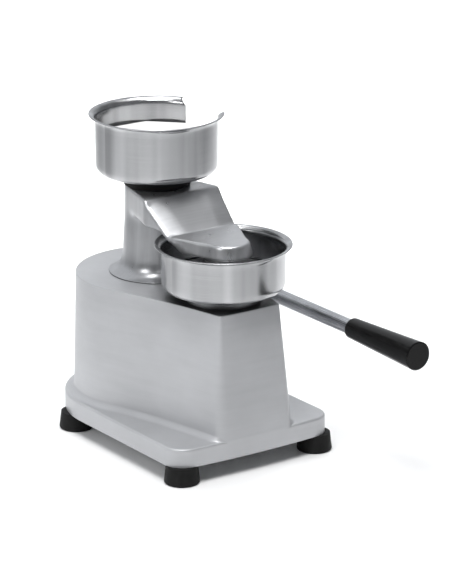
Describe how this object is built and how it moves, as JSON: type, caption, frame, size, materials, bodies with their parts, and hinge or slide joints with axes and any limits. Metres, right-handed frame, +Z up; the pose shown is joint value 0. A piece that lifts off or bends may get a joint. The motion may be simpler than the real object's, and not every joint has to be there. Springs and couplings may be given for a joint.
{
  "type": "patty press",
  "caption": "Manual hamburger press: side lever lifts a column that carries the press head and paper cup, and pushes the ejector up through the forming bowl.",
  "frame": {"origin": "on the table, under the centre of the overall box", "axes": "+Z up, +Y away from the operator towards the column, +X to the operator's right, where the lever is"},
  "size_m": [0.225, 0.43, 0.3504],
  "materials": {
    "cast_aluminium": "fine satin, brushed and bead blasted casting",
    "machined_aluminium": "turned",
    "stainless_sheet": "spun and polished stainless",
    "chromed_steel": "satin chrome",
    "ground_steel": "ground, oiled",
    "forged_steel": "dark, machined on its working faces",
    "bronze": "sintered bronze",
    "steel_fasteners": "zinc plated",
    "steel_sheet": "galvanised sheet",
    "rubber": "matte moulded rubber",
    "grip_plastic": "gloss black phenolic",
    "waxed_paper": "matte white waxed paper"
  },
  "bodies": {
    "body": {"body_casting": "cast_aluminium", "base_cover": "steel_sheet", "base_cover_screws": "steel_fasteners", "foot_front_left": "rubber", "foot_front_right": "rubber", "foot_rear_left": "rubber", "foot_rear_right": "rubber", "foot_screws": "steel_fasteners", "foot_washers": "steel_fasteners", "column_bush_upper": "bronze", "column_bush_lower": "bronze", "crank_bush_inner": "bronze", "crank_bush_outer": "bronze", "ejector_bush": "bronze", "forming_bowl": "stainless_sheet", "bowl_screws": "steel_fasteners"},
    "head": {"neck_casting": "cast_aluminium", "neck_lock_screw": "steel_fasteners", "column_shaft": "ground_steel", "lift_yoke": "forged_steel", "yoke_collar": "forged_steel", "collar_set_screw": "steel_fasteners", "yoke_retaining_ring": "steel_fasteners", "press_disc": "machined_aluminium", "press_stem": "machined_aluminium", "press_stem_bolt": "steel_fasteners", "press_disc_screws": "steel_fasteners", "cup_spacer": "rubber", "paper_cup": "stainless_sheet", "cup_screws": "steel_fasteners", "paper_stack": "waxed_paper"},
    "lever": {"crank_shaft": "ground_steel", "crank_arm": "forged_steel", "crank_pin": "ground_steel", "crank_taper_pin": "steel_fasteners", "crank_thrust_collar": "forged_steel", "lever_hub": "machined_aluminium", "hub_set_screw": "steel_fasteners", "lever_thrust_washer": "steel_fasteners", "lever_end_washer": "steel_fasteners", "lever_end_screw": "steel_fasteners", "lever_rod": "chromed_steel", "lever_grip": "grip_plastic"},
    "roller": {"crank_roller": "ground_steel"},
    "ejector": {"ejector_plate": "machined_aluminium", "ejector_plate_screw": "steel_fasteners", "ejector_rod": "ground_steel", "ejector_foot_nut": "steel_fasteners"}
  },
  "joints": [
    {"name": "lever_hinge", "type": "hinge", "parent": "body", "child": "lever", "pos_m": [0.097, 0.087, 0.124], "axis": [-1, 0, 0], "range_deg": [0, 64]},
    {"name": "neck_lift", "type": "slide", "parent": "body", "child": "head", "axis": [0, 0, 1], "range_m": [0, 0.0425]},
    {"name": "ejector_lift", "type": "slide", "parent": "body", "child": "ejector", "axis": [0, 0, 1], "range_m": [0, 0.0301]},
    {"name": "roller_spin", "type": "hinge", "parent": "lever", "child": "roller", "pos_m": [-0.007, 0.05308, 0.1028], "axis": [1, 0, 0], "continuous": true}
  ],
  "couplings": [
    {"joint": "neck_lift", "follows": "lever_hinge", "m_per_rad": 0.037953},
    {"joint": "ejector_lift", "follows": "lever_hinge", "m_per_rad": 0.026857}
  ]
}
